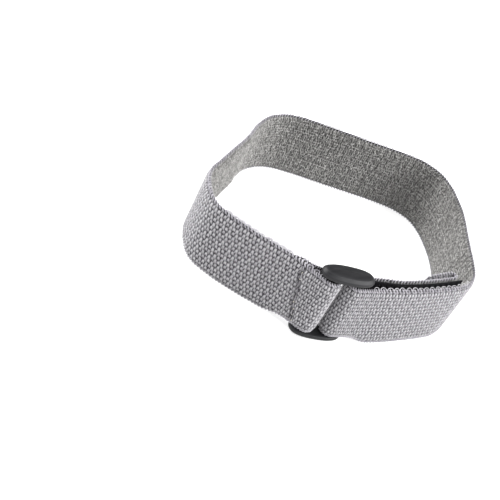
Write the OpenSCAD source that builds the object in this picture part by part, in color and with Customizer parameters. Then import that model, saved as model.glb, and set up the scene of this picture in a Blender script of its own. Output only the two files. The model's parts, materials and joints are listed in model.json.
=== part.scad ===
// Static-dissipative wrist strap: an elastic knitted tape with a conductive
// lining, sewn round one bar of a moulded slider ring, passed round the
// ring's other bar and held back on itself by a hook strip.

/* [Tape] */
// Width of the tape, which stands on its lower edge
tape_w = 20; // [16:0.5:25]
// Whole thickness of the tape
tape_t = 1.4; // [1.2:0.1:1.6]
// Thickness of the outer knit face
face_t = 0.55; // [0.4:0.05:0.6]
// Thickness of the conductive lining
lining_t = 0.55; // [0.4:0.05:0.6]
// Number of rubber threads inside the tape
cores = 9; // [4:1:12]
// Height of one rubber thread
core_h = 0.6; // [0.3:0.1:0.9]

/* [Slider ring] */
// Length of an end plate
plate_l = 14; // [13:0.5:16]
// Width of an end plate
plate_w = 6.4; // [6:0.1:7.5]
// Thickness of an end plate
plate_t = 2; // [1.5:0.1:2.5]
// Diameter of the two bars
bar_d = 2.2; // [2:0.1:2.4]
// Distance between the two bars
bar_pitch = 6.7; // [6.6:0.1:7.5]
// Gap between a bar and the tape that wraps it
bar_gap = 0.4; // [0.35:0.05:0.5]
// Height between the two end plates
opening_h = 18.6; // [18.4:0.1:19.4]

/* [Hook strip and seams] */
// Thickness of the hook strip's woven backing
hook_base_t = 0.5; // [0.4:0.1:0.6]
// Height of the field of hooks
hook_pile_t = 0.8; // [0.5:0.1:0.8]
// Diameter of the sewing thread
thread_d = 0.35; // [0.2:0.05:0.4]
// Number of stitches in a seam across the tape
stitches = 8; // [4:1:9]

/* [Hidden] */
$fn = 32;
steps = 4;                       // straight pieces per span of the tape's curve
arc_steps = 8;                   // straight pieces per quarter of a wrap

// The outline's own centre in plan, which becomes the origin
plan_centre = [-0.9, 0.95];

// Slider ring in plan
ring_centre = [-19.6, -25.85];
ring_turn = -21.5;
bar_r = bar_d / 2;
anchor_bar = ring_centre - bar_pitch / 2 * heading(ring_turn);
free_bar = ring_centre + bar_pitch / 2 * heading(ring_turn);
wrap_r = bar_r + bar_gap + tape_t / 2;   // the tape's middle as it rounds a bar
ring_h = opening_h + 2 * plate_t;

// Directions in which the tape leaves the bars
wall_turn = 117;                 // front left wall, from the anchor bar
panel_turn = -7.5;               // front panel, from the free bar
tail_turn = -20;                 // tail, from the free bar
slot_turn = ring_turn + 180;     // from the free bar to the slot's middle

// Slits between the parts of the one tape, as an angle at a bar and as a length
cut_turn = 2.5;
cut_gap = 0.1;

// Middle line of the tape from the anchor bar clockwise to the free bar
wall_start = anchor_bar + wrap_r * heading(wall_turn + 90);
panel_end = free_bar + wrap_r * heading(panel_turn - 90);
band_points = [wall_start - 4 * heading(wall_turn),
    wall_start, [-26.8, -21.8], [-29.7, -16.1], [-35.0, -9.6], [-39.8, -2.6],
    [-42.0, 4.2], [-38.4, 13], [-31.5, 18.2], [-19.3, 26.2], [-13.4, 31],
    [-7.2, 34.2], [-0.2, 34.7], [6.4, 32.2], [18.8, 25.1], [31.2, 17.9],
    [37.9, 12.4], [40.2, 5.5], [36.8, -6.5], [29.4, -19], [25.6, -25.6],
    [22, -30.3], [16.4, -32.8], [5, -32.5], [-5.3, -31.4],
    panel_end, panel_end - 4 * heading(panel_turn)];
band = smooth(band_points);

// Middle line of the tail from the free bar to the pull tab
tail_start = free_bar + wrap_r * heading(tail_turn + 90);
tail_points = [tail_start - 4 * heading(tail_turn), tail_start,
    [-8.9, -26.9], [-3.3, -28.5], [2.9, -29.3], [9, -29.7], [15.2, -29.8], [21.4, -29.8]];
tail = smooth(tail_points);
hook_from = 2;                   // first point of the tail under the hook strip
hook_seam_from = 7;              // first point where it is sewn along its edges
hook_overhang = 1.8;             // past the fold of the pull tab

// Anchor fold: round the bar, then back along the inside of the wall
wrap_back = 22;                  // how far past the half turn the fold goes
turn_gap = 0.3;                  // between the wall and the tape sewn to it
turn_from = 8;                   // first point of the wall that the fold lies against
turn_to = 11;                    // point of the wall where the folded tape is cut off
seam_at = 9;                     // point of the wall where the fold is sewn down
anchor_arc = arc(anchor_bar, wrap_r, wall_turn + 90 + cut_turn, wall_turn + 270 + wrap_back,
                 2 * arc_steps);
wall_inside = offset_path(band, -(tape_t + turn_gap));
turn_path = concat(anchor_arc, part_of(wall_inside, turn_from, turn_to));

// Free wrap: its outer part stays with the panel, its inner part bends
split_turn = slot_turn + 6;
free_arc = arc(free_bar, wrap_r, panel_turn + 270 - cut_turn, split_turn, arc_steps);
bend_arc = arc(free_bar, wrap_r, split_turn - cut_turn, tail_turn + 90 + cut_turn, arc_steps);

// Pull tab: the tail's end turned back inwards round a narrow slit
tab_slit = 0.5;
tab_l = 8;                       // length of the folded end
tab_gap = 0.25;                  // left between its cut edge and the tail
tab_seam_in = 0.7;               // from its cut edge to its seam
tab_r = (tape_t + tab_slit) / 2;
tail_end = tail[len(tail) - 1];
tab_path = concat(arc(tail_end + [cut_gap, tab_r], tab_r, -90, 90, arc_steps),
    [tail_end + [-3, 2 * tab_r], tail_end + [-5.5, 2 * tab_r - 0.1],
     tail_end + [-tab_l, tape_t + tab_gap]]);

// The tape's lower edge is drawn up so that it clears the ring's lower plate
lift = plate_t + 0.2;
lift_flat = 4.6;                 // from a bar to where the edge starts back down
lift_run = 11;                   // from there to where it is down
lift_depth = 12;                 // reach of the cut across the tape
hook_margin = 0.3;               // from the hook strip's edges to the tape's
pile_margin = 0.4;               // from the field of hooks to the strip's edges
seam_margin = 1.6;               // from a seam's ends to the tape's edges
hook_stitch = 1.8;               // pitch of the stitches along the hook strip
hook_seam_in = 0.4;              // from the hook strip's edges to its seams
stitch_share = 0.7;              // part of a stitch's pitch that its thread shows

function heading(a) = [cos(a), sin(a)];
function unit(v) = v / norm(v);
function left_of(v) = [-v[1], v[0]];
function reversed(p) = [for (i = [len(p) - 1:-1:0]) p[i]];
function arc(c, r, a0, a1, n) = [for (i = [0:n]) c + r * heading(a0 + (a1 - a0) * i / n)];
function along(a, b, c, d, t) = 0.5 * (2 * b + (c - a) * t
    + (2 * a - 5 * b + 4 * c - d) * t * t + (3 * b - a - 3 * c + d) * t * t * t);
// A smooth line through the points, whose first and last only set the ends' slopes
function smooth(p) = concat([for (i = [0:len(p) - 4], k = [0:steps - 1])
    along(p[i], p[i + 1], p[i + 2], p[i + 3], k / steps)], [p[len(p) - 2]]);
// Direction of a line at one of its points, bent with the line at its two ends
function slope(p, i) = let (n = len(p) - 1)
    i == 0 ? unit(4 * p[1] - 3 * p[0] - p[2])
    : i == n ? unit(3 * p[n] - 4 * p[n - 1] + p[n - 2])
    : unit(p[i + 1] - p[i - 1]);
function turn_of(p, i) = atan2(slope(p, i)[1], slope(p, i)[0]);
function offset_path(p, d) = [for (i = [0:len(p) - 1]) p[i] + d * left_of(slope(p, i))];
function strip(p, a, b) = concat(offset_path(p, a), reversed(offset_path(p, b)));
function part_of(p, from, to) = [for (i = [from:to]) p[i]];

// A wall that follows a line in plan, between two offsets to its left
module wall(path, a, b, z0 = 0, z1 = tape_w)
    translate([0, 0, z0]) linear_extrude(z1 - z0) polygon(strip(path, a, b));

// The wedge that draws the tape's lower edge up beside a bar
module edge_wedge(bar, turn)
    translate(bar) rotate(turn) rotate([90, 0, 0])
        translate([0, 0, -lift_depth / 2]) linear_extrude(lift_depth)
            polygon([[-5, -1], [-5, lift], [lift_flat, lift], [lift_flat + lift_run, 0],
                     [lift_flat + lift_run, -1]]);

// One stitch: a bar of thread on each face and a leg through the layers
module stitch(depth, pitch) {
    for (y = [0, depth])
        translate([0, y, -pitch * stitch_share / 2])
            cylinder(d = thread_d, h = pitch * stitch_share);
    rotate([-90, 0, 0]) cylinder(d = thread_d, h = depth);
}

// A seam across the tape, through depth millimetres along the turn
module cross_seam(at, turn, depth) {
    pitch = (tape_w - lift - 2 * seam_margin) / stitches;
    translate(at) rotate(turn)
        for (i = [0:stitches - 1])
            translate([0, 0, lift + seam_margin + (i + 0.5) * pitch]) stitch(depth, pitch);
}

module at_origin() translate([-plan_centre[0], -plan_centre[1], 0]) children();

module trimmed_wall(path, a, b, z0 = 0, z1 = tape_w)
    difference() {
        wall(path, a, b, z0, z1);
        edge_wedge(anchor_bar, wall_turn);
        edge_wedge(free_bar, panel_turn);
    }

// Outer knit face of the tape
module face_fabric() color("#aaa7ad") at_origin()
    trimmed_wall(band, tape_t / 2, tape_t / 2 - face_t);

// Silver-yarn lining that touches the skin
module conductive_lining() color("#c8c5bf") at_origin()
    trimmed_wall(band, lining_t - tape_t / 2, -tape_t / 2);

// Covered rubber threads between the face and the lining
module elastic_cores() color("#e8e4da") at_origin() {
    pitch = (tape_w - 2 * lift) / cores;
    for (i = [0:cores - 1]) {
        z = lift + (i + 0.5) * pitch;
        wall(band, tape_t / 2 - face_t, lining_t - tape_t / 2, z - core_h / 2, z + core_h / 2);
    }
}

// Tape turned round the anchor bar and back inside the wall
module anchor_fold() color("#a5a2a8") at_origin()
    difference() {
        wall(turn_path, tape_t / 2, -tape_t / 2);
        edge_wedge(anchor_bar, wall_turn);
        // the wedge follows the wall, so the part that rounds the bar is cut level too
        translate([anchor_bar[0], anchor_bar[1], -1]) cylinder(r = wrap_r + tape_t, h = lift + 1);
    }

// Seam that closes the anchor fold
module anchor_stitching() color("#d9d6dc") at_origin()
    cross_seam(band[seam_at] + (tape_t / 2) * left_of(slope(band, seam_at)),
               turn_of(band, seam_at) + 180, 2 * tape_t + turn_gap);

// Outer part of the wrap round the free bar
module adjuster_fold() color("#a5a2a8") at_origin()
    wall(free_arc, -tape_t / 2, tape_t / 2, lift);

// Outline of an end plate: a long oval, drawn in or out by grow
module plate_outline(grow = 0)
    polygon([for (a = [0:7.5:352.5])
        [(plate_l / 2 + grow) * cos(a), (plate_w / 2 + grow) * sin(a)]]);

// One end plate with a bevelled outer edge
module end_plate() {
    bevel = 0.7;
    linear_extrude(plate_t - bevel) plate_outline();
    hull() {
        translate([0, 0, plate_t - bevel - 0.01]) linear_extrude(0.01) plate_outline();
        translate([0, 0, plate_t - 0.01]) linear_extrude(0.01) plate_outline(-bevel);
    }
}

// Moulded ring: two oval end plates joined by two round bars
module slider_ring() color("#37373a") at_origin()
    translate(ring_centre) rotate(ring_turn) {
        for (side = [-1, 1])
            translate([side * bar_pitch / 2, 0, plate_t / 2])
                cylinder(d = bar_d, h = ring_h - plate_t);
        translate([0, 0, ring_h - plate_t]) end_plate();
        translate([0, 0, plate_t]) mirror([0, 0, 1]) end_plate();
    }

// Inner part of the wrap, which straightens as the tail is lifted
module tail_fold() color("#9d9aa0") at_origin()
    wall(bend_arc, -tape_t / 2, tape_t / 2, lift);

// Free end of the tape, laid back inside the front panel
module tail_strip() color("#aaa7ad") at_origin()
    difference() {
        wall(tail, tape_t / 2, -tape_t / 2);
        edge_wedge(free_bar, tail_turn);
    }

// End of the tail folded over for the fingers
module pull_tab() color("#b4b1b7") at_origin()
    wall(tab_path, tape_t / 2, -tape_t / 2);

// Seam that holds the folded end down
module tab_stitching() color("#d9d6dc") at_origin()
    cross_seam(tail_end + [tab_seam_in - tab_l, -tape_t / 2], 0, 2 * tape_t + tab_gap + 0.1);

// A layer of the hook strip, whose lower edge rises beside the ring with the tape's
module hook_layer(from, depth, margin)
    difference() {
        wall(concat(part_of(tail, hook_from, len(tail) - 1), [tail_end + [hook_overhang, 0]]),
             -tape_t / 2 - from, -tape_t / 2 - from - depth, margin, tape_w - margin);
        edge_wedge(free_bar, tail_turn);
    }

// Woven backing of the hook strip
module hook_base() color("#1b1b1d") at_origin() hook_layer(0, hook_base_t, hook_margin);

// Field of moulded hooks that grips the lining
module hook_pile() color("#101012") at_origin()
    hook_layer(hook_base_t, hook_pile_t, hook_margin + pile_margin);

// Seams along the hook strip's two edges
module hook_stitching() color("#2a2a2d") at_origin() {
    depth = tape_t + hook_base_t;
    foot = hook_margin + hook_seam_in;
    for (i = [hook_seam_from:len(tail) - 2], z = [foot, tape_w - foot])
        translate(concat(tail[i] - (tape_t / 2 + hook_base_t) * left_of(slope(tail, i)), z))
            rotate(turn_of(tail, i)) rotate([0, 90, 0]) stitch(depth, hook_stitch);
}

face_fabric();
conductive_lining();
elastic_cores();
anchor_fold();
anchor_stitching();
adjuster_fold();
slider_ring();
tail_fold();
tail_strip();
pull_tab();
tab_stitching();
hook_base();
hook_pile();
hook_stitching();
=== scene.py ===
"""Looks of the static-dissipative wrist strap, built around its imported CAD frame.

The tape is one knitted length. Its line in plan repeats the CAD's: from the cut end sewn inside the
front left wall, round the ring's anchor bar, round the loop, round the free bar, and back inside the
front panel to the folded pull tab. Lengths are in millimetres until a mesh is made.
"""

import json
import math

import bpy
import numpy as np
from mathutils import Matrix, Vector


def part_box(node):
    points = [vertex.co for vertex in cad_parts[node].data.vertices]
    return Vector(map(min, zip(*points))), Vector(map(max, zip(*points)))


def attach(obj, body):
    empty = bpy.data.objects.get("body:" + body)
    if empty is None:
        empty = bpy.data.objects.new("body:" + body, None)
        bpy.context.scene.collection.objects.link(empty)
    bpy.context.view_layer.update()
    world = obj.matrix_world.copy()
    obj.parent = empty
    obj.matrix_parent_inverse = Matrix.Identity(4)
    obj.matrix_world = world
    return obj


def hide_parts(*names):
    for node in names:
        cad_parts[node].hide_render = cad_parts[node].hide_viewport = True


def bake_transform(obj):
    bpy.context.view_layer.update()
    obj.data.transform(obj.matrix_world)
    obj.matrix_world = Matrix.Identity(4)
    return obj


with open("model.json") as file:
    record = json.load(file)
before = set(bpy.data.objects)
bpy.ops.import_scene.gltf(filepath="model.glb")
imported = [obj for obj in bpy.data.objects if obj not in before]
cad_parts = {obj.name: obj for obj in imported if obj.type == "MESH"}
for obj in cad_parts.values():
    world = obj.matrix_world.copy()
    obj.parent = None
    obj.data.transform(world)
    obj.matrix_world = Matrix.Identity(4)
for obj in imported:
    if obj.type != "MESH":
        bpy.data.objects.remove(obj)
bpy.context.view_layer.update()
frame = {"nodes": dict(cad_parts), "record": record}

MM = 0.001
rng = np.random.default_rng(7)

# ---------------------------------------------------------------- sizes


def joint_at(name):
    """A joint's place in plan, in millimetres."""
    joints = frame["record"]["behaviour"]["joints"]
    return np.array([j["pos_m"] for j in joints if j["name"] == name][0][:2]) / MM


def top_of(node):
    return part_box(node)[1][2] / MM


def bottom_of(node):
    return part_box(node)[0][2] / MM


TAPE_T = 1.4
TAPE_TOP = top_of("face_fabric")
LIFT = bottom_of("adjuster_fold")       # the tape's lower edge where it passes the ring
RING_TOP = top_of("slider_ring")
PLATE_T = 2.0
BAR_R = 1.1
WRAP_R = BAR_R + 0.4 + TAPE_T / 2       # the tape's middle as it rounds a bar
ANCHOR_BAR = joint_at("ring_swivel")
FREE_BAR = joint_at("tail_peel")
RING_CENTRE = (ANCHOR_BAR + FREE_BAR) / 2
RING_TURN = math.degrees(math.atan2(*(FREE_BAR - ANCHOR_BAR)[::-1]))
PLATE_L, PLATE_W = 14.0, 6.3
TOP_PLATE_IN = 0.2                      # how far the top plate's long sides lie inside the lower one's

# Plan of the tape, as in the CAD: directions away from the bars, and points on its middle line
WALL_TURN, PANEL_TURN, TAIL_TURN = 117, -7.5, -20
SPLIT_TURN = RING_TURN + 186            # where the wrap passes from the loop to the tail
PLAN_CENTRE = np.array([-0.9, 0.95])
BAND_POINTS = [(-26.8, -21.8), (-29.7, -16.1), (-35, -9.6), (-39.8, -2.6), (-42, 4.2), (-38.4, 13),
               (-31.5, 18.2), (-19.3, 26.2), (-13.4, 31), (-7.2, 34.2), (-0.2, 34.7), (6.4, 32.2),
               (18.8, 25.1), (31.2, 17.9), (37.9, 12.4), (40.2, 5.5), (36.8, -6.5), (29.4, -19),
               (25.6, -25.6), (22, -30.3), (16.4, -32.8), (5, -32.5), (-5.3, -31.4)]
TAIL_POINTS = [(-8.9, -26.9), (-3.3, -28.5), (2.9, -29.3), (9, -29.7), (15.2, -29.8), (21.4, -29.8)]

# Knit
STITCH = 0.96                           # pitch of the stitches along the tape
WALE = 1.28                             # pitch of the rows across it
YARN_R = 0.205
FACE_STEP, FACE_ROW = 0.13, 0.12        # mesh steps of the knit face, along and across
LINING_STEP = 0.17
EDGE_R = TAPE_T / 2
RIM_R = 0.27                            # the tape thins towards its rims
RIM_RUN = 1.6
SHEET_W = TAPE_TOP + (math.pi - 2) * RIM_R

# Distances from the nearer bar, in plan, over which the tape changes: it lies tight round the bar, is
# bunched up beside it, and its lower edge comes down to the table
WRAP_RUN = (2.5, 4.0)
BUNCH_RUN = (4.0, 9.0)
RISE_RUN = (4.6, 12.5)

# ---------------------------------------------------------------- plan lines


def heading(degrees):
    return np.array([math.cos(math.radians(degrees)), math.sin(math.radians(degrees))])


def arc(centre, radius, start, end, count):
    a = np.radians(np.linspace(start, end, count))
    return centre + radius * np.stack([np.cos(a), np.sin(a)], axis=1)


def smooth(points, per_span=24):
    """Catmull-Rom line through the points; the first and last only set the slope at the ends."""
    p = np.array(points, float)
    t = np.linspace(0, 1, per_span, endpoint=False)[:, None]
    spans = [0.5 * (2 * b + (c - a) * t + (2 * a - 5 * b + 4 * c - d) * t ** 2
                    + (3 * b - a - 3 * c + d) * t ** 3)
             for a, b, c, d in zip(p[:-3], p[1:-2], p[2:-1], p[3:])]
    return np.concatenate(spans + [p[-2:-1]])


def lengths(line):
    return np.concatenate([[0], np.cumsum(np.linalg.norm(np.diff(line, axis=0), axis=1))])


def resample(line, step):
    s = lengths(line)
    want = np.linspace(0, s[-1], int(round(s[-1] / step)) + 1)
    return np.stack([np.interp(want, s, line[:, i]) for i in range(2)], axis=1)


def relax(line, reach):
    """Rounds off kinks over about reach points, ends held."""
    x = np.arange(-3 * reach, 3 * reach + 1)
    k = np.exp(-0.5 * (x / reach) ** 2)
    k /= k.sum()
    pad = len(x) // 2
    head = 2 * line[0] - line[1:pad + 1][::-1]
    tail = 2 * line[-1] - line[-pad - 1:-1][::-1]
    full = np.concatenate([head, line, tail])
    return np.stack([np.convolve(full[:, i], k, "valid") for i in range(2)], axis=1)


def slopes(line):
    t = np.gradient(line, axis=0)
    return t / np.linalg.norm(t, axis=1)[:, None]


def left_of(t):
    return np.stack([-t[:, 1], t[:, 0]], axis=1)


def beside(p, n, out, z):
    """Points moved out from plan places p along their normals n, at heights z."""
    return np.stack([p[..., 0] + n[..., 0] * out, p[..., 1] + n[..., 1] * out, z], axis=-1)


def level(n):
    """Plan directions as directions in space."""
    return np.concatenate([n, np.zeros((len(n), 1))], axis=1)


def band_line():
    """Middle of the tape from the anchor bar, clockwise, to the free bar."""
    start = ANCHOR_BAR + WRAP_R * heading(WALL_TURN + 90)
    end = FREE_BAR + WRAP_R * heading(PANEL_TURN - 90)
    inner = [np.array(p) - PLAN_CENTRE for p in BAND_POINTS]
    return smooth([start - 4 * heading(WALL_TURN), start] + inner + [end, end - 4 * heading(PANEL_TURN)])


FLAP_FROM, FLAP_TO = 5.9, 10.6          # where the turned end lies along the wall, from the bar
WRAP_BACK = 22


def loop_line():
    """The whole of the tape that belongs to the loop, from its cut end to the split at the free bar."""
    band = resample(band_line(), 0.1)
    s = lengths(band)
    lying = (s > FLAP_FROM) & (s < FLAP_TO)
    flap = (band - (TAPE_T + 0.1) * left_of(slopes(band)))[lying][::-1]
    round_anchor = arc(ANCHOR_BAR, WRAP_R, WALL_TURN + 270 + WRAP_BACK, WALL_TURN + 90, 60)
    round_free = arc(FREE_BAR, WRAP_R, PANEL_TURN + 270, SPLIT_TURN, 30)
    line = resample(np.concatenate([flap[:-1], round_anchor[:-1], band, round_free[1:]]), 0.1)
    return relax(line, 4)


TAB_SLIT = 0.5
TAB_R = (TAPE_T + TAB_SLIT) / 2
TAB_L = 8
TAB_GAP = 0.25                          # between its cut end and the tail
TAB_SEAM_IN = 0.9                       # from its cut end to its seam


def strip_line():
    """The straight part of the tail, from its tangent point on the free bar to the fold of the tab."""
    start = FREE_BAR + WRAP_R * heading(TAIL_TURN + 90)
    inner = [np.array(p) - PLAN_CENTRE for p in TAIL_POINTS]
    return smooth([start - 4 * heading(TAIL_TURN), start] + inner)


def tail_line():
    """The tape from the split at the free bar to its end, folded over inwards at the pull tab."""
    strip = strip_line()
    end = strip[-1]
    bend = arc(FREE_BAR, WRAP_R, SPLIT_TURN, TAIL_TURN + 90, 30)
    fold = arc(end + [0, TAB_R], TAB_R, -90, 90, 24)
    back = [end + [-3, 2 * TAB_R], end + [-5.5, 2 * TAB_R - 0.1], end + [-TAB_L, TAPE_T + TAB_GAP]]
    line = resample(np.concatenate([bend[:-1], strip, fold[1:], back]), 0.1)
    return relax(line, 3)


def hook_line():
    """The line of the tail under the hook strip, which runs on past the fold."""
    strip = strip_line()
    start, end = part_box("hook_base")[0][0] / MM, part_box("hook_base")[1][0] / MM
    under = strip[strip[:, 0] > start + 0.4]
    return resample(np.concatenate([under, [[end, under[-1, 1]]]]), 0.1)


# ---------------------------------------------------------------- tape surfaces


def step_up(x, low, high):
    t = np.clip((x - low) / (high - low), 0, 1)
    return t * t * (3 - 2 * t)


def waves(x):
    """A smooth wandering line of about unit size: five sines, each shorter and lower than the last."""
    r = np.random.default_rng(1)
    longest = 60.0
    total = 0
    for i in range(5):
        total = total + np.sin(2 * math.pi * (x / (longest / 1.7 ** i) + r.random())) / 1.35 ** i
    return total / 2


class Tape:
    """A stretch of tape: its line in plan, its edges' heights, and points on its surface."""

    def __init__(self, line, first_course):
        self.line = line
        self.s = lengths(line)
        self.t = slopes(line)
        self.n = left_of(self.t)
        near = np.minimum(*(np.linalg.norm(line - bar, axis=1) for bar in (ANCHOR_BAR, FREE_BAR)))
        squeezed = 1 - step_up(near, *BUNCH_RUN)
        self.wrapped = 1 - step_up(near, *WRAP_RUN)
        self.low = LIFT * (1 - step_up(near, *RISE_RUN))
        # Slack tape beside the ring has its stitches closer together than the stretched rest
        crowding = 1 + 0.5 * squeezed
        counted = np.concatenate([[0], np.cumsum(np.diff(self.s) * crowding[1:])])
        self.courses = first_course + counted / STITCH
        self.high = TAPE_TOP - 0.1 - 0.15 * squeezed + 0.1 * waves(self.s + first_course * STITCH)

    def at(self, s):
        """Plan point, left normal, low edge and high edge at lengths s."""
        pick = lambda values: np.interp(s, self.s, values)
        p = np.stack([pick(self.line[:, 0]), pick(self.line[:, 1])], axis=-1)
        n = np.stack([pick(self.n[:, 0]), pick(self.n[:, 1])], axis=-1)
        n /= np.linalg.norm(n, axis=-1)[..., None]
        return p, n, pick(self.low), pick(self.high)

    def course(self, s):
        """Stitches counted along the tape, up to lengths s."""
        return np.interp(s, self.s, self.courses)

    def across(self, s, v):
        """Millimetres across the sheet, counted so that they are even along the upper rim."""
        _, _, low, high = self.at(s)
        return SHEET_W - (1 - v) * (high - low + (math.pi - 2) * RIM_R)

    def section(self, s, v, side, sunk):
        """Points, outward directions and widths on one face, sunk millimetres below its crowns.

        v runs from the lower rim, 0, to the upper rim, 1, and takes in half of each rounded edge.
        """
        p, n, low, high = self.at(s)
        quarter = math.pi * RIM_R / 2
        flat = (high - low) - 2 * RIM_R
        d = v * (flat + 2 * quarter)
        angle = np.where(d < quarter, d / RIM_R - math.pi / 2,
                         np.where(d > quarter + flat, (d - quarter - flat) / RIM_R, 0))
        height = np.clip(low + RIM_R + d - quarter, low + RIM_R, high - RIM_R)
        swell = (EDGE_R - RIM_R) * step_up(np.minimum(d - quarter, quarter + flat - d), 0, RIM_RUN)
        out = np.cos(angle) * side
        normal = np.stack([n[..., 0] * out, n[..., 1] * out, np.sin(angle)], axis=-1)
        return beside(p, n, side * swell, height) + normal * (RIM_R - sunk), normal


def yarn(x, y, a, b, radius, dive=0.0):
    """Height of a round yarn laid from a to b, 1 along its crown and 0 beyond its sides.

    It sinks by dive towards b.
    """
    dx, dy = b[0] - a[0], b[1] - a[1]
    along = np.clip(((x - a[0]) * dx + (y - a[1]) * dy) / (dx * dx + dy * dy), 0, 1)
    gap = np.hypot(x - a[0] - along * dx, y - a[1] - along * dy)
    return np.sqrt(np.clip(1 - (gap / radius) ** 2, 0, 1)) * (1 - dive * along ** 2)


def knit_relief(x, y):
    """Height of the knit face; x counts stitches and y is in millimetres.

    The stitches stand in level rows like arched scales, each row half a stitch aside from the next. Their
    legs sink towards the feet. Every second stitch reaches down to the row below, so the gap between two
    rows, which the colour ramp paints dark as shade, is broken into dashes.
    """
    best = np.zeros(x.shape)
    head_half, foot_half = 0.12, 0.24
    head_up, foot_up = 0.97, 0.24
    for up in (-1, 0, 1):
        row = np.floor(y / WALE) + up
        base = row * WALE
        aside = 0.5 * (row % 2) + 0.10 * np.sin(5.3 * row)
        for side in (-1, 0, 1):
            stitch = np.floor(x - aside + 0.5) + side
            wander = 0.08 * np.sin(stitch * 12.9898 + row * 78.233)
            skew = 0.07 * np.sin(stitch * 5.1 + row * 2.7)
            full = 1 - 0.14 * np.sin(stitch * 4.7 + row * 9.1)
            centre = (stitch + aside) * STITCH + wander
            heads = [(centre + way * head_half + skew, base + head_up) for way in (-1, 1)]
            reach = foot_up - 0.36 * (stitch % 2)
            for way, head in zip((-1, 1), heads):
                foot = (centre + way * foot_half, base + reach)
                best = np.maximum(best, full * yarn(x * STITCH, y, head, foot, YARN_R, 0.42))
            best = np.maximum(best, full * yarn(x * STITCH, y, heads[0], heads[1], YARN_R))
    return best


def cell_noise(x, y, seed):
    """Distances to the nearest and second nearest of scattered points, one in each unit cell."""
    r = np.random.default_rng(seed)
    table = r.random((64, 64, 2))
    ix, iy = np.floor(x).astype(int), np.floor(y).astype(int)
    first, second = np.full(x.shape, 9.0), np.full(x.shape, 9.0)
    for i in (-1, 0, 1):
        for j in (-1, 0, 1):
            cx, cy = ix + i, iy + j
            spot = table[cx % 64, cy % 64]
            d = np.hypot(cx + 0.15 + 0.7 * spot[..., 0] - x, cy + 0.15 + 0.7 * spot[..., 1] - y)
            second = np.minimum(second, np.maximum(first, d))
            first = np.minimum(first, d)
    return first, second


def lining_relief(x, y):
    """Height of the lining: loose silver loops, crowded and uneven, with eyes of painted shade between
    them.
    """
    rib_h, step = 0.92, 0.64
    table = np.random.default_rng(3).random((6, 61, 67))
    first, _ = cell_noise(x / 0.36, y / 0.36, 5)
    best = 0.22 * (1 - first)
    for up in (-1, 0, 1):
        rib = np.floor(y / rib_h) + up
        for side in (-1, 0, 1):
            course = np.floor(x / step + 0.5) + side
            r = table[:, (rib % 61).astype(int), (course % 67).astype(int)]
            at, base = course * step + 0.30 * (r[0] - 0.5), rib * rib_h + 0.25 * (r[1] - 0.5)
            tip = (at - 0.12 - 0.3 * r[3], base + 0.85)
            best = np.maximum(best, (0.7 + 0.3 * r[4]) * yarn(x, y, (at, base), tip, 0.12 + 0.07 * r[2]))
            over = (tip[0] + 0.5, tip[1] + 0.25 * (r[5] - 0.5))
            curl = yarn(x, y, tip, over, 0.13)
            best = np.maximum(best, np.where(r[5] + r[1] > 0.9, 0.9 * curl, 0.2 * curl))
    # Painted shade: the eyes lower the height, and the colour with it, so they are painted dark.
    eye_x = (x / (2 * STITCH)) % 1 - 0.5 + 0.12 * np.sin(y * 1.7)
    eye_y = (y / WALE) % 1 - 0.5 + 0.12 * np.sin(x * 0.9)
    best = best * (1 - 0.6 * np.exp(-(eye_x / 0.17) ** 2 - (eye_y / 0.22) ** 2))
    worn, _ = cell_noise(x / 1.1, y / 0.9, 9)
    best = best * (1.15 - 0.62 * worn)
    return best


# ---------------------------------------------------------------- mesh helpers


def make_mesh(name, points, quads, material, smooth_shade=True, values=None):
    """An object from points in millimetres and quads; values gives one number a point."""
    mesh = bpy.data.meshes.new(name)
    points, quads = np.asarray(points, float).reshape(-1, 3) * MM, np.asarray(quads, np.int32)
    mesh.vertices.add(len(points))
    mesh.vertices.foreach_set("co", points.ravel())
    mesh.loops.add(quads.size)
    mesh.loops.foreach_set("vertex_index", quads.ravel())
    mesh.polygons.add(len(quads))
    mesh.polygons.foreach_set("loop_start", np.arange(0, quads.size, 4, dtype=np.int32))
    mesh.update(calc_edges=True)
    mesh.validate()
    if smooth_shade:
        mesh.polygons.foreach_set("use_smooth", np.ones(len(mesh.polygons), bool))
    if values is not None:
        relief = mesh.attributes.new("relief", "FLOAT", "POINT")
        relief.data.foreach_set("value", np.asarray(values, np.float32).ravel())
    mesh.materials.append(material)
    obj = bpy.data.objects.new(name, mesh)
    bpy.context.collection.objects.link(obj)
    return obj


def grid_quads(rows, columns, flip=False, wrap=False):
    """Quads of a rows by columns grid of points; wrap joins the last column to the first."""
    i, j = np.meshgrid(np.arange(rows - 1), np.arange(columns if wrap else columns - 1), indexing="ij")
    k = (j + 1) % columns
    a, b, c, d = i * columns + j, i * columns + k, (i + 1) * columns + k, (i + 1) * columns + j
    return np.stack([a, b, c, d] if flip else [a, d, c, b], axis=-1).reshape(-1, 4)


def tubes(paths, radius, sides):
    """Points and quads of many round yarns.

    paths is count x length x 3; radius is one number or one for each point of a path.
    """
    paths = np.asarray(paths, float)
    count, length, _ = paths.shape
    t = np.gradient(paths, axis=1)
    t /= np.maximum(np.linalg.norm(t, axis=2), 1e-9)[..., None]
    helper = np.where(np.abs(t[..., 2:3]) > 0.8, [[[1.0, 0, 0]]], [[[0, 0, 1.0]]])
    helper = np.broadcast_to(helper[:, :1], t.shape)
    u = np.cross(t, helper)
    u /= np.maximum(np.linalg.norm(u, axis=2), 1e-9)[..., None]
    w = np.cross(t, u)
    a = np.linspace(0, 2 * math.pi, sides, endpoint=False)
    r = np.broadcast_to(np.asarray(radius, float), (count, length))[..., None, None]
    ring = np.cos(a)[:, None] * u[:, :, None] + np.sin(a)[:, None] * w[:, :, None]
    points = paths[:, :, None] + r * ring
    one = grid_quads(length, sides, wrap=True)
    quads = (one[None] + (np.arange(count) * length * sides)[:, None, None]).reshape(-1, 4)
    return points.reshape(-1, 3), quads


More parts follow.
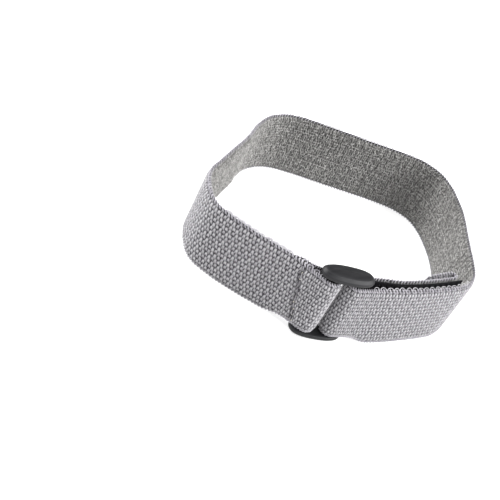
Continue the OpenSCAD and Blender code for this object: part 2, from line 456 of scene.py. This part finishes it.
def yarn_tones(points, count, low, spread):
    """A random tone for each of count yarns, given to all its points."""
    return (low + spread * rng.random(count)).repeat(len(points) // count)


def joined(parts):
    """Points and quads of several sets as one."""
    points, quads, start = [], [], 0
    for p, q in parts:
        points.append(np.asarray(p).reshape(-1, 3))
        quads.append(q + start)
        start += len(points[-1])
    return np.concatenate(points), np.concatenate(quads)


# ---------------------------------------------------------------- materials


def new_material(name):
    material = bpy.data.materials.new(name)
    material.use_nodes = True
    tree = material.node_tree
    return material, tree, tree.nodes["Principled BSDF"]


def add(tree, kind, inputs=None, **settings):
    node = tree.nodes.new(kind)
    for key, value in settings.items():
        setattr(node, key, value)
    for key, value in (inputs or {}).items():
        node.inputs[key].default_value = value
    return node


def ramp(tree, factor, stops):
    node = add(tree, "ShaderNodeValToRGB")
    elements = node.color_ramp.elements
    while len(elements) < len(stops):
        elements.new(0.5)
    for element, (at, colour) in zip(elements, stops):
        element.position, element.color = at, (*colour, 1)
    tree.links.new(factor, node.inputs["Fac"])
    return node.outputs["Color"]


def mixed(tree, kind, amount, a, b):
    node = add(tree, "ShaderNodeMix", data_type="RGBA", blend_type=kind)
    for socket, value in ((node.inputs["Factor"], amount), (node.inputs["A"], a), (node.inputs["B"], b)):
        if isinstance(value, bpy.types.NodeSocket):
            tree.links.new(value, socket)
        else:
            socket.default_value = value
    return node.outputs["Result"]


def noise(tree, scale, detail=3.0, rough=0.6, stretch=None):
    """Noise in object space, in features a metre, stretched along an axis if asked."""
    coords = add(tree, "ShaderNodeTexCoord").outputs["Object"]
    if stretch:
        mapping = add(tree, "ShaderNodeMapping")
        mapping.inputs["Scale"].default_value = stretch[0]
        mapping.inputs["Rotation"].default_value = (0, 0, stretch[1])
        tree.links.new(coords, mapping.inputs["Vector"])
        coords = mapping.outputs["Vector"]
    node = add(tree, "ShaderNodeTexNoise", {"Scale": scale, "Detail": detail, "Roughness": rough})
    tree.links.new(coords, node.inputs["Vector"])
    return node.outputs["Fac"]


def bump(tree, bsdf, height, strength, distance):
    node = add(tree, "ShaderNodeBump", {"Strength": strength, "Distance": distance})
    tree.links.new(height, node.inputs["Height"])
    tree.links.new(node.outputs["Normal"], bsdf.inputs["Normal"])


def yarn_material(name, dark, middle, light, fleck, roughness=0.85, sheen=0.25, mottling=0.35):
    """Knitted or sewn yarn: painted shade in the gaps, light on the crowns, with light flecks and uneven
    dye.
    """
    material, tree, bsdf = new_material(name)
    relief = add(tree, "ShaderNodeAttribute", attribute_name="relief").outputs["Fac"]
    # Painted shade: on the knit and lining sheets the colour follows the height, so gaps and sunken legs
    # are painted dark. On single yarns the value is the yarn's own random tone.
    body = ramp(tree, relief, [(0.0, dark), (0.45, middle), (0.95, light)])
    patches = ramp(tree, noise(tree, 900, 4.0), [(0.3, (0.72, 0.72, 0.74)), (0.7, (1.0, 1.0, 1.0))])
    body = mixed(tree, "MULTIPLY", mottling, body, patches)
    # Light flecks: loose fibres on most yarns; on the silver lining they are painted glints off the
    # silver yarn.
    flecks = ramp(tree, noise(tree, 5200, 2.0), [(0.56, (0, 0, 0)), (0.68, (1, 1, 1))])
    body = mixed(tree, "MIX", flecks, body, mixed(tree, "MIX", 0.45, body, (*fleck, 1)))
    tree.links.new(body, bsdf.inputs["Base Color"])
    bsdf.inputs["Roughness"].default_value = roughness
    bsdf.inputs["Sheen Weight"].default_value = sheen
    bsdf.inputs["Sheen Roughness"].default_value = 0.45
    bsdf.inputs["Specular IOR Level"].default_value = 0.3
    bump(tree, bsdf, noise(tree, 9000, 3.0, 0.7), 0.5, 0.00006)
    return material


def plastic_material():
    """Black moulded nylon: satin, with fine flow lines along the plates and dulled, greyer edges."""
    material, tree, bsdf = new_material("moulded_plastic")
    lines = noise(tree, 260, 5.0, 0.65, ((0.12, 3.2, 0.6), math.radians(RING_TURN)))
    body = ramp(tree, lines, [(0.3, (0.004, 0.004, 0.005)), (0.7, (0.012, 0.012, 0.013))])
    worn = add(tree, "ShaderNodeAttribute", attribute_name="relief").outputs["Fac"]
    body = mixed(tree, "MIX", worn, body, (0.017, 0.017, 0.019, 1))
    tree.links.new(body, bsdf.inputs["Base Color"])
    gloss = ramp(tree, noise(tree, 700, 3.0), [(0.3, (0.42, 0.42, 0.42)), (0.7, (0.58, 0.58, 0.58))])
    tree.links.new(gloss, bsdf.inputs["Roughness"])
    bsdf.inputs["Specular IOR Level"].default_value = 0.22
    both = mixed(tree, "ADD", 0.5, lines, noise(tree, 4200, 2.0))
    bump(tree, bsdf, both, 0.35, 0.00005)
    return material


def hook_material():
    """Black nylon of the hook strip."""
    material, tree, bsdf = new_material("hook_nylon")
    stops = [(0.3, (0.002, 0.002, 0.003)), (0.75, (0.009, 0.009, 0.010))]
    body = ramp(tree, noise(tree, 2500, 3.0), stops)
    tree.links.new(body, bsdf.inputs["Base Color"])
    bsdf.inputs["Roughness"].default_value = 0.75
    bsdf.inputs["Specular IOR Level"].default_value = 0.12
    bump(tree, bsdf, noise(tree, 5000, 2.0), 0.4, 0.00005)
    return material


def rubber_material():
    """Covered rubber thread inside the tape."""
    material, tree, bsdf = new_material("covered_rubber")
    body = ramp(tree, noise(tree, 1800, 3.0), [(0.3, (0.62, 0.58, 0.50)), (0.7, (0.80, 0.77, 0.70))])
    tree.links.new(body, bsdf.inputs["Base Color"])
    bsdf.inputs["Roughness"].default_value = 0.7
    bump(tree, bsdf, noise(tree, 3500, 2.0), 0.4, 0.00005)
    return material


KNIT = yarn_material("knit_yarn", (0.036, 0.034, 0.040), (0.155, 0.151, 0.161), (0.380, 0.375, 0.387),
                     (0.52, 0.51, 0.53))
RIM = yarn_material("rim_yarn", (0.10, 0.095, 0.115), (0.21, 0.20, 0.225), (0.37, 0.36, 0.385),
                    (0.5, 0.49, 0.52))
# The lining's light flecks are painted glints off its silver yarn.
SILVER = yarn_material("silver_lining", (0.013, 0.0125, 0.012), (0.096, 0.094, 0.090),
                       (0.45, 0.442, 0.427), (0.78, 0.77, 0.75), roughness=0.7, sheen=0.15, mottling=0.4)
WHITE = yarn_material("white_loops", (0.28, 0.27, 0.29), (0.38, 0.37, 0.39), (0.50, 0.49, 0.51),
                      (0.62, 0.62, 0.63))
THREAD = yarn_material("sewing_thread", (0.10, 0.095, 0.11), (0.20, 0.19, 0.21), (0.32, 0.31, 0.33),
                       (0.4, 0.4, 0.42))
PLASTIC = plastic_material()
HOOKS = hook_material()
RUBBER = rubber_material()

# ---------------------------------------------------------------- tape pieces


# Where the anchor seam meets the rims, from the bar along the wall
SEAM_TOP, SEAM_FOOT = 7.2, 2.4
SEAM_STITCHES = 8


def seam_along(z):
    """How far along the loop the slanting anchor seam lies at a height."""
    return LOOP_BAND_START + SEAM_FOOT + (SEAM_TOP - SEAM_FOOT) * z / TAPE_TOP


def crease(s, z):
    """Depth by which the anchor seam pulls the knit face in; it also sets the painted shade in the
    crease.
    """
    pulls = 0.7 + 0.3 * np.cos(2 * math.pi * z / 2.1)
    off = s - seam_along(z) - 0.2 * np.sin(z * 0.9)
    return 0.50 * pulls * np.exp(-(off / 0.6) ** 2) - 0.32 * np.exp(-((off + 1.4) / 0.6) ** 2)


def sheet_grid(tape, step, row):
    rows = int(round(tape.s[-1] / step)) + 1
    columns = int(round(SHEET_W / row)) + 1
    s, v = np.meshgrid(np.linspace(0, tape.s[-1], rows), np.linspace(0, 1, columns), indexing="ij")
    inside = np.minimum(v, 1 - v) * SHEET_W
    return s, v, inside


def face_piece(name, tape, seam=False):
    """The knit face: a displaced sheet from the lower rim, over the outside, to the upper rim."""
    s, v, inside = sheet_grid(tape, FACE_STEP, FACE_ROW)
    points, normal = tape.section(s, v, 1, 0.24)
    # The relief fades out towards the rims, so the face is painted dark there, a painted shade under the
    # rim yarns.
    height = knit_relief(tape.course(s), tape.across(s, v)) * step_up(inside, 0.5, 0.9)
    lift = 0.30 * np.maximum(height, 0.22 * (1 - step_up(inside, 0.5, 0.9)))
    if seam:
        pull = crease(s, points[..., 2])
        # Painted shade: where the seam pulls the face in, its relief value, and with it its colour, is
        # lowered, so the crease is painted dark.
        lift, height = lift - pull, height * (1 - 0.9 * np.clip(pull / 0.35, 0, 1))
    return make_mesh(name, points + normal * lift[..., None], grid_quads(*s.shape), KNIT, values=height)


def lining_piece(name, tape):
    """The lining: a softer sheet on the other side."""
    s, v, inside = sheet_grid(tape, LINING_STEP, LINING_STEP)
    points, normal = tape.section(s, v, -1, 0.22)
    # The relief fades out towards the rims, so the lining is painted dark there, a painted shade under
    # the rim yarns.
    height = lining_relief(tape.course(s) * STITCH, tape.across(s, v)) * step_up(inside, 0.5, 1.1)
    # Pressed flatter where it lies against a bar
    lift = (0.34 - 0.26 * np.interp(s, tape.s, tape.wrapped)) * height
    return make_mesh(name, points + normal * lift[..., None], grid_quads(*s.shape, flip=True), SILVER,
                     values=height)


def rim_piece(name, tape):
    """Beaded rims: slanting yarns laid over both edges of the tape, one to a stitch."""
    first, last = math.ceil(tape.courses[0]), math.floor(tape.courses[-1])
    count = last - first
    centre = np.interp(np.arange(first, last) + 0.5, tape.courses, tape.s)
    # Round the edge from a little way down the knit face, over the top, to the lining
    reach = np.array([-1.0, -0.75, -0.45, -0.2, 0.0, 0.25, 0.5, 0.75, 1.0, 1.2])
    angle = np.clip(reach, 0, 1) * math.pi
    down = np.where(reach < 0, -reach * 0.45, np.where(reach > 1, (reach - 1) * 2.0, 0))
    slant = np.concatenate([np.linspace(-0.40, 0.18, 6), np.linspace(0.20, 0.0, 4)])
    parts, tones = [], []
    for way in (1, -1):
        s = centre[:, None] + slant[None] + rng.normal(0, 0.035, (count, 1))
        p, n, low, high = tape.at(s)
        thick = RIM_R - (0.0 if way > 0 else 0.08) + rng.normal(0, 0.02, (count, 1))
        grow = (EDGE_R - RIM_R) * step_up(down, 0, RIM_RUN)[None]
        out = np.cos(angle)[None] * thick + np.sign(np.cos(angle))[None] * grow
        edge = high - RIM_R if way > 0 else low + RIM_R
        z = edge + way * (np.sin(angle)[None] * thick - down[None])
        paths = beside(p, n, out, z)
        width = np.array([0.09, 0.13, 0.16, 0.17, 0.18, 0.18, 0.17, 0.16, 0.13, 0.09])
        parts.append(tubes(paths, width[None] * (1.0 if way > 0 else 1.5), 8))
        tones.append(yarn_tones(parts[-1][0], count, 0.55, 0.4))
    points, quads = joined(parts)
    return make_mesh(name, points, quads, RIM, values=np.concatenate(tones))


def end_cap(name, tape, at_start):
    """The cut end of the tape: a plug of yarn ends and a few frayed fibres."""
    s = 0.0 if at_start else tape.s[-1]
    p, n, low, high = tape.at(np.array([s]))
    t = tape.t[0 if at_start else -1] * (-1 if at_start else 1)
    count = 120
    z = rng.uniform(low + 0.4, high - 0.3, count)
    side = rng.uniform(-0.45, 0.45, count)
    reach = rng.uniform(0.15, 0.55, count)
    u = np.linspace(-0.6, 1, 6)
    bend = rng.normal(0, 0.22, (count, 1)) * np.clip(u, 0, 1)[None] ** 2
    drift = rng.normal(0, 0.25, (count, 1)) * np.clip(u, 0, 1)[None] ** 2
    along = reach[:, None] * u[None]
    xy = p[0] + n[0] * (side[:, None] + bend)[..., None] + t * along[..., None]
    paths = np.concatenate([xy, (z[:, None] + drift)[..., None]], axis=-1)
    points, quads = tubes(paths, np.linspace(0.11, 0.05, 6)[None], 5)
    return make_mesh(name, points, quads, RIM, values=yarn_tones(points, count, 0.6, 0.4))


def picot_piece(name, tape, start, end, radius, inward, upward, material):
    """Loose loops of the edge yarn on the tape's upper inner edge, one to two stitches."""
    pitch = 2 * STITCH
    count = int((end - start) / pitch)
    a = np.linspace(-0.25, math.pi + 0.25, 11)
    s0 = start + (np.arange(count) + 0.5) * pitch + rng.normal(0, 0.1, count)
    size = rng.uniform(0.8, 1.15, (count, 1))
    s = s0[:, None] + 0.72 * np.cos(a)[None] * rng.uniform(0.85, 1.1, (count, 1)) - 0.25 * np.sin(a)[None]
    p, n, _, high = tape.at(s)
    away = RIM_R - 0.1 + inward * size * np.sin(a)[None]
    z = high - 0.12 + upward * size * np.sin(a)[None]
    paths = beside(p, n, -away, z)
    points, quads = tubes(paths, radius * (0.85 + 0.15 * np.sin(a))[None], 7)
    return make_mesh(name, points, quads, material, values=yarn_tones(points, count, 0.5, 0.5))


def fuzz_piece(name, tape, count, material, side):
    """Stray fibre loops on one face."""
    s0 = rng.uniform(2, tape.s[-1] - 1, count)
    s0 = s0[np.interp(s0, tape.s, tape.wrapped) == 0]
    count = len(s0)
    z0 = rng.uniform(0.08, 0.95, count)
    a = np.linspace(0, math.pi, 7)
    lean = rng.uniform(-1, 1, (count, 1))
    long = rng.uniform(0.25, 0.7, (count, 1))
    s = s0[:, None] + long * lean * np.cos(a)[None]
    p, n, low, high = tape.at(s)
    z = low + (high - low) * z0[:, None] + long * np.sqrt(1 - 0.8 * lean ** 2) * np.cos(a)[None]
    out = side * (EDGE_R + rng.uniform(0.12, 0.42, (count, 1)) * np.sin(a)[None])
    points, quads = tubes(beside(p, n, out, z), 0.055, 4)
    return make_mesh(name, points, quads, material, values=yarn_tones(points, count, 0.6, 0.4))


# ---------------------------------------------------------------- seams


def stitches(name, centres, along, out, length, radius, material):
    """Short arched bars of thread. centres, along and out are count x 3."""
    u = np.linspace(-0.5, 0.5, 7)
    arch = np.cos(math.pi * u)
    paths = (centres[:, None] + along[:, None] * (length * u)[None, :, None]
             + out[:, None] * (0.16 * arch - 0.12)[None, :, None])
    points, quads = tubes(paths, radius * (0.55 + 0.45 * np.cos(math.pi * u * 0.9))[None], 7)
    return make_mesh(name, points, quads, material, values=yarn_tones(points, len(centres), 0.4, 0.6))


def cross_seam(name, tape, where, side, material, sunk=0.0):
    """A seam across the tape on one of its faces; where gives the length along the tape at a height."""
    z = np.linspace(LIFT + 1.2, TAPE_TOP - 1.6, SEAM_STITCHES)
    s = where(z)
    p, n, _, _ = tape.at(s)
    out = level(n * side)
    centres = np.concatenate([p, z[:, None]], axis=1) + out * (EDGE_R - sunk)
    tangent = level(-left_of(n))
    up = np.gradient(s, z)[:, None] * tangent + [0, 0, 1.0]
    up /= np.linalg.norm(up, axis=1)[:, None]
    return stitches(name, centres, up, out, (z[1] - z[0]) * 0.72, 0.15, material)


# ---------------------------------------------------------------- hook strip

HOOK_BASE_T = 0.5
HOOK_LOW, HOOK_TOP = bottom_of("hook_base"), top_of("hook_base")


def strip_foot(low):
    """Lower edge of the hook strip, which rises with the tape beside the ring."""
    return np.maximum(HOOK_LOW, low + 0.05)


def hook_base_piece(tape):
    """The woven backing: a flat strip with rounded long edges, square ends and a ribbed weave."""
    s = np.linspace(0, tape.s[-1], int(tape.s[-1] / 0.15))
    a = np.linspace(0, 2 * math.pi, 96, endpoint=False)
    across = np.sign(np.cos(a)) * np.abs(np.cos(a)) ** 0.12
    thick = HOOK_BASE_T / 2 * np.sign(np.sin(a)) * np.abs(np.sin(a)) ** 0.5
    p, n, low, _ = tape.at(s)
    foot = strip_foot(low)
    middle, half = (HOOK_TOP + foot) / 2, (HOOK_TOP - foot) / 2
    weave = 0.035 * np.cos(2 * math.pi * s / 0.5)[:, None] * np.cos(2 * math.pi * across * 9 / 0.7)[None]
    out = -(EDGE_R + HOOK_BASE_T / 2) + thick[None] + weave
    z = middle[:, None] + half[:, None] * across[None]
    points = beside(p[:, None], n[:, None], out, z)
    sets = [(points, grid_quads(len(s), len(a), wrap=True))]
    for row, flip in ((0, True), (-1, False)):
        hub = points[row].copy()
        hub[:, :2] = (p - n * (EDGE_R + HOOK_BASE_T / 2))[row]
        sets.append((np.concatenate([points[row], hub]), grid_quads(2, len(a), flip=not flip, wrap=True)))
    points, quads = joined(sets)
    return make_mesh("hook_backing", points, quads, HOOKS)


def hook_pile_piece(tape):
    """The field of moulded hooks, each a stem that bends over at its tip."""
    s0, z0 = np.meshgrid(np.arange(0.5, tape.s[-1] - 0.3, 0.78),
                         np.arange(HOOK_LOW + 0.7, HOOK_TOP - 0.3, 0.72), indexing="ij")
    s0, z0 = s0.ravel() + rng.normal(0, 0.05, s0.size), z0.ravel() + rng.normal(0, 0.05, z0.size)
    clear = z0 > strip_foot(tape.at(s0)[2]) + 0.3
    s0, z0 = s0[clear], z0[clear]
    way = np.where(rng.random(s0.size) < 0.5, -1.0, 1.0)
    a = np.linspace(0, math.pi * 1.25, 6)
    out = np.concatenate([[-0.1, 0.2], 0.42 + 0.2 * np.sin(a)])
    along = np.concatenate([[0, 0], 0.17 * (1 - np.cos(a))])
    s = s0[:, None] + way[:, None] * along[None]
    p, n, _, _ = tape.at(s)
    reach = -(EDGE_R + HOOK_BASE_T + out[None] + 0 * s)
    z = z0[:, None] + 0 * s
    points, quads = tubes(beside(p, n, reach, z), 0.09, 5)
    return make_mesh("hook_field", points, quads, HOOKS)


def hook_seams(tape):
    """Black stitches along the hook strip's two long edges, seen on the hook side."""
    s = np.arange(8.0, tape.s[-1] - 2.4, 1.8)
    p, n, _, _ = tape.at(s)
    out = -level(n)
    tangent = level(-left_of(n))
    sets = [np.concatenate([p, np.full((len(s), 1), z)], axis=1) + out * (EDGE_R + HOOK_BASE_T + 0.03)
            for z in (HOOK_LOW + 0.4, HOOK_TOP - 0.4)]
    return stitches("hook_seams", np.concatenate(sets), np.tile(tangent, (2, 1)), np.tile(out, (2, 1)),
                    1.25, 0.14, HOOKS)


# ---------------------------------------------------------------- ring


def ring_piece():
    """The moulded ring: two domed oval plates with rolled edges, and two bars with filleted feet."""
    a = np.linspace(0, 2 * math.pi, 96, endpoint=False)
    turn = np.radians(RING_TURN)

    def ring_at(long, wide, z):
        power = 0.82
        x = long * np.sign(np.cos(a)) * np.abs(np.cos(a)) ** power
        y = wide * np.sign(np.sin(a)) * np.abs(np.sin(a)) ** power
        return np.stack([RING_CENTRE[0] + x * math.cos(turn) - y * math.sin(turn),
                         RING_CENTRE[1] + x * math.sin(turn) + y * math.cos(turn),
                         np.full(len(a), z)], axis=1)

    half_l = PLATE_L / 2
    roll = np.radians(np.linspace(-90, 0, 6))
    # From the plate's inner face to its crown: growth outwards, height and wear
    profile = [(-3.18, 0.0, 0.0), (-2.2, 0.0, 0.0), (-1.0, 0.0, 0.0)]
    profile += [(0.3 * (math.cos(t) - 1), 0.3 * (1 + math.sin(t)), 0.35) for t in roll]
    profile += [(0.0, 0.80, 0.6), (-0.05, 1.00, 1.0), (-0.16, 1.12, 1.0), (-0.62, 1.62, 0.55),
                (-0.72, 1.70, 0.9), (-0.88, 1.75, 0.5), (-1.5, 1.83, 0.0), (-2.2, 1.92, 0.0),
                (-2.9, 1.99, 0.15), (-3.18, 2.0, 0.1)]
    worn = [row[2] for row in profile]
    sets, values = [], []
    for top, half_w in ((True, PLATE_W / 2 - TOP_PLATE_IN), (False, PLATE_W / 2)):
        plate = []
        for grow, z, _ in profile:
            height = RING_TOP - PLATE_T + z if top else PLATE_T - z
            plate.append(ring_at(half_l + grow, max(half_w + grow, 0.02), height))
        sets.append((np.concatenate(plate), grid_quads(len(profile), len(a), flip=not top, wrap=True)))
        values.append(np.repeat(worn, len(a)))
    z = np.array([PLATE_T - 0.3, PLATE_T, PLATE_T + 0.12, PLATE_T + 0.35, PLATE_T + 0.6])
    z = np.concatenate([z, RING_TOP - z[::-1]])
    r = np.array([1.5, 1.42, 1.25, 1.13, BAR_R])
    r = np.concatenate([r, r[::-1]])
    for bar in (ANCHOR_BAR, FREE_BAR):
        path = np.stack([np.full(len(z), bar[0]), np.full(len(z), bar[1]), z], axis=1)
        sets.append(tubes(path[None], r[None], 32))
        values.append(np.zeros(len(z) * 32))
    points, quads = joined(sets)
    return make_mesh("moulded_ring", points, quads, PLASTIC, values=np.concatenate(values))


# ---------------------------------------------------------------- build the object

loop_tape = Tape(loop_line(), 0.0)
# The cut end is tucked below the wall's rim
loop_tape.high -= 0.9 * (1 - step_up(loop_tape.s, 0, 3.5))
tail_tape = Tape(tail_line(), loop_tape.courses[-1])
BAND_START = ANCHOR_BAR + WRAP_R * heading(WALL_TURN + 90)
LOOP_BAND_START = loop_tape.s[np.argmin(np.linalg.norm(loop_tape.line - BAND_START, axis=1))]


def put(piece, body, slot, *nodes):
    """Rides a piece on its body and hides what it stands for."""
    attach(piece, body)
    if nodes:
        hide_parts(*nodes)


def bend(piece, slot, *nodes):
    """Bakes a piece of the tail into place and hides what it stands for."""
    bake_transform(piece)
    if nodes:
        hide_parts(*nodes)


def tab_seam_along(z):
    """How far along the tail the pull tab's seam lies, the same at every height."""
    return np.full(len(z), tail_tape.s[-1] - TAB_SEAM_IN)


put(face_piece("loop_knit_face", loop_tape, seam=True), "loop", "knit_face", "face_fabric", "anchor_fold",
    "adjuster_fold")
put(lining_piece("loop_lining", loop_tape), "loop", "conductive_lining", "conductive_lining")
put(rim_piece("loop_rims", loop_tape), "loop", "knit_face")
put(end_cap("anchor_cut_end", loop_tape, True), "loop", "knit_face")
put(cross_seam("anchor_seam", loop_tape, seam_along, 1, THREAD, sunk=0.30), "loop", "thread",
    "anchor_stitching")

# Loose edge loops: where they start and end along the loop, their yarn's radius, and how far they stand
# inwards and upwards
wall, panel_end = LOOP_BAND_START, loop_tape.s[-1] - 6
for name, start, end, radius, inward, upward, material, slot in (
        ("panel_edge_loops", panel_end - 34, panel_end, 0.08, 0.65, 0.08, WHITE, "thread"),
        ("wall_edge_loops", wall + 11, wall + 32, 0.36, 0.1, 0.34, WHITE, "thread"),
        ("fold_edge_loops", wall + 1, wall + 9, 0.16, 0.8, 0.05, RIM, "knit_face")):
    put(picot_piece(name, loop_tape, start, end, radius, inward, upward, material), "loop", slot)
put(fuzz_piece("lining_fuzz", loop_tape, 2600, SILVER, -1), "loop", "conductive_lining")

bend(face_piece("tail_knit_face", tail_tape), "knit_face", "tail_fold", "tail_strip", "pull_tab")
bend(lining_piece("tail_lining", tail_tape), "conductive_lining")
bend(rim_piece("tail_rims", tail_tape), "knit_face")
put(end_cap("tab_cut_end", tail_tape, False), "tail", "knit_face")
put(cross_seam("tab_seam", tail_tape, tab_seam_along, -1, THREAD), "tail", "thread", "tab_stitching")
hook_tape = Tape(hook_line(), 0.0)
put(hook_base_piece(hook_tape), "tail", "hook_strip", "hook_base")
put(hook_pile_piece(hook_tape), "tail", "hook_strip", "hook_pile")
put(hook_seams(hook_tape), "tail", "dark_thread", "hook_stitching")

put(ring_piece(), "ring", "ring_plastic", "slider_ring")

cores = frame["nodes"]["elastic_cores"]
for holder in cores.material_slots:
    holder.material = RUBBER

# ---------------------------------------------------------------- floor, light and camera


def add_floor():
    """A white light table, lit evenly from beneath as well as from above."""
    floor_material, tree, bsdf = new_material("pale_floor")
    body = ramp(tree, noise(tree, 12, 2.0), [(0.3, (0.50, 0.50, 0.50)), (0.7, (0.52, 0.52, 0.52))])
    tree.links.new(body, bsdf.inputs["Base Color"])
    bsdf.inputs["Roughness"].default_value = 0.9
    bsdf.inputs["Specular IOR Level"].default_value = 0.1
    bsdf.inputs["Emission Color"].default_value = (1, 1, 1, 1)
    bsdf.inputs["Emission Strength"].default_value = 0.75
    size = 3000.0
    corners = [(-size, -size, 0), (size, -size, 0), (size, size, 0), (-size, size, 0)]
    make_mesh("floor", corners, [[0, 1, 2, 3]], floor_material, smooth_shade=False)


def facing(right, up, back, at):
    """World matrix of a light or camera at a place, looking away from back."""
    m = Matrix.Identity(4)
    for i in range(3):
        m[i][0], m[i][1], m[i][2], m[i][3] = right[i], up[i], back[i], at[i]
    return m


def add_area_light(name, at, energy, size):
    data = bpy.data.lights.new(name, "AREA")
    data.energy, data.size = energy, size
    light = bpy.data.objects.new(name, data)
    bpy.context.collection.objects.link(light)
    at = np.array(at, float)
    back = at / np.linalg.norm(at)
    right = np.cross([0, 0, 1], back)
    right /= np.linalg.norm(right)
    light.matrix_world = facing(right, np.cross(back, right), back, at)


def add_camera():
    """Looks down on the strap from its front left, rolled so that its long way leans in the frame."""
    at = np.array([-175.6, -137.25, 164.7]) * MM
    turn, dip, roll = math.radians(47.8), math.radians(38.4), math.radians(28.7)
    forward = np.array([math.sin(turn) * math.cos(dip), math.cos(turn) * math.cos(dip), -math.sin(dip)])
    level = np.array([math.cos(turn), -math.sin(turn), 0])
    rise = np.cross(level, forward)
    right = math.cos(roll) * level + math.sin(roll) * rise
    up = np.cross(right, forward)
    data = bpy.data.cameras.new("camera")
    data.sensor_width, data.lens = 36, 72
    data.clip_start, data.clip_end = 0.005, 20
    camera = bpy.data.objects.new("camera", data)
    bpy.context.collection.objects.link(camera)
    camera.matrix_world = facing(right, up, -forward, at)
    bpy.context.scene.camera = camera


def add_world():
    world = bpy.data.worlds.new("studio")
    world.use_nodes = True
    background = world.node_tree.nodes["Background"]
    background.inputs["Color"].default_value = (1, 1, 1, 1)
    background.inputs["Strength"].default_value = 0.53
    bpy.context.scene.world = world


add_floor()
add_world()
add_area_light("key", (0.42, -0.55, 0.56), 16.5, 0.6)
add_area_light("back", (-0.38, 0.56, 0.58), 15.0, 0.6)
add_camera()
bpy.context.scene.view_settings.view_transform = "Standard"
